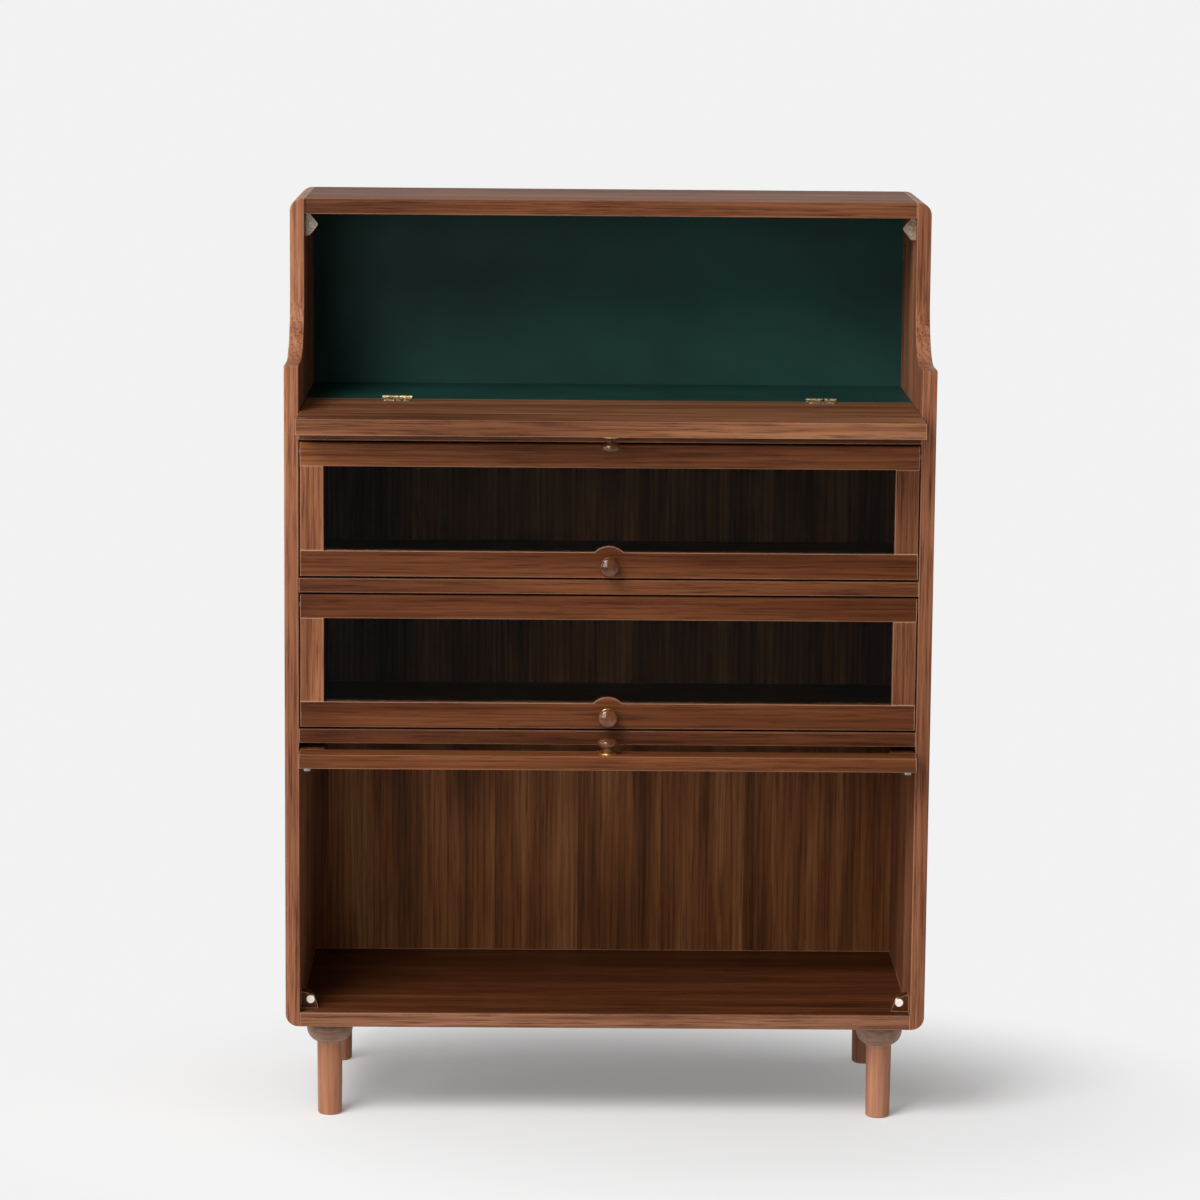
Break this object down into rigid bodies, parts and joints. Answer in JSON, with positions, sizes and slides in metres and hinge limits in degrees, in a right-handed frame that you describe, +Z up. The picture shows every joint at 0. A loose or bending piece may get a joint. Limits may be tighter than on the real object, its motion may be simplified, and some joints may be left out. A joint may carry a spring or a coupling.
{
  "type": "secretary cabinet",
  "caption": "Walnut secretary cabinet on turned legs: a drop-down desk flap over glazed bookcase doors that lift and slide back.",
  "frame": {"origin": "bottom centre of the bounding box at rest, between the feet on the floor, with the flap open", "axes": "+Z up, -Y is the front with the doors and the flap, +X to the right as seen from the front"},
  "size_m": [0.8, 0.4288, 1.15],
  "materials": {
    "walnut": "satin",
    "dark_walnut": "gloss",
    "leg_wood": "satin",
    "green_surface": "matte",
    "glass": "gloss",
    "brass": "polished",
    "aged_brass": "satin",
    "steel": "satin",
    "magnet": "satin",
    "catch_plastic": "gloss"
  },
  "bodies": {
    "carcass": {"bottom_panel": "walnut", "desk_floor_board": "walnut", "desk_surface": "green_surface", "door_catch_blocks": "walnut", "door_magnets": "magnet", "flap_catch_blocks": "catch_plastic", "flap_magnets": "magnet", "front_left_bun": "dark_walnut", "front_left_leg": "leg_wood", "front_right_bun": "dark_walnut", "front_right_leg": "leg_wood", "hinge_floor_leaves": "aged_brass", "hinge_pins": "aged_brass", "ledge_board": "walnut", "left_side_panel": "walnut", "lower_back_panel": "walnut", "lower_shelf": "walnut", "rear_left_bun": "dark_walnut", "rear_left_leg": "leg_wood", "rear_right_bun": "dark_walnut", "rear_right_leg": "leg_wood", "right_side_panel": "walnut", "top_panel": "walnut", "upper_back_panel": "green_surface", "upper_shelf": "walnut"},
    "flap": {"flap_knob": "dark_walnut", "flap_knob_ring": "brass", "flap_panel": "walnut", "flap_strikes": "steel", "hinge_flap_leaves": "aged_brass"},
    "upper_runner": {"upper_door_pins": "steel"},
    "upper_door": {"upper_door_bottom_rail": "walnut", "upper_door_glass": "glass", "upper_door_glazing_beads": "walnut", "upper_door_knob": "dark_walnut", "upper_door_knob_ring": "brass", "upper_door_left_stile": "walnut", "upper_door_right_stile": "walnut", "upper_door_strikes": "steel", "upper_door_top_rail": "walnut"},
    "middle_runner": {"middle_door_pins": "steel"},
    "middle_door": {"middle_door_bottom_rail": "walnut", "middle_door_glass": "glass", "middle_door_glazing_beads": "walnut", "middle_door_knob": "dark_walnut", "middle_door_knob_ring": "brass", "middle_door_left_stile": "walnut", "middle_door_right_stile": "walnut", "middle_door_strikes": "steel", "middle_door_top_rail": "walnut"},
    "lower_runner": {"lower_door_pins": "steel"},
    "lower_door": {"lower_door_bottom_rail": "walnut", "lower_door_glass": "glass", "lower_door_glazing_beads": "walnut", "lower_door_knob": "dark_walnut", "lower_door_knob_ring": "brass", "lower_door_left_stile": "walnut", "lower_door_right_stile": "walnut", "lower_door_strikes": "steel", "lower_door_top_rail": "walnut"}
  },
  "joints": [
    {"name": "flap_hinge", "type": "hinge", "parent": "carcass", "child": "flap", "pos_m": [0, 0.01443, 0.89985], "axis": [-1, 0, 0], "range_deg": [0, 90]},
    {"name": "upper_door_slide", "type": "slide", "parent": "carcass", "child": "upper_runner", "axis": [0, 1, 0], "range_m": [0, 0.104]},
    {"name": "upper_door_lift", "type": "hinge", "parent": "upper_runner", "child": "upper_door", "pos_m": [0, -0.12657, 0.847], "axis": [-1, 0, 0], "range_deg": [0, 90]},
    {"name": "middle_door_slide", "type": "slide", "parent": "carcass", "child": "middle_runner", "axis": [0, 1, 0], "range_m": [0, 0.104]},
    {"name": "middle_door_lift", "type": "hinge", "parent": "middle_runner", "child": "middle_door", "pos_m": [0, -0.12657, 0.658], "axis": [-1, 0, 0], "range_deg": [0, 90]},
    {"name": "lower_door_slide", "type": "slide", "parent": "carcass", "child": "lower_runner", "axis": [0, -1, 0], "range_m": [0, 0.2765]},
    {"name": "lower_door_close", "type": "hinge", "parent": "lower_runner", "child": "lower_door", "pos_m": [0, 0.14993, 0.469], "axis": [1, 0, 0], "range_deg": [0, 90]}
  ],
  "couplings": [
    {"joint": "upper_door_lift", "follows": "upper_door_slide", "rad_per_m": 15.104},
    {"joint": "middle_door_lift", "follows": "middle_door_slide", "rad_per_m": 15.104},
    {"joint": "lower_door_slide", "follows": "lower_door_close", "m_per_rad": 0.17602}
  ]
}
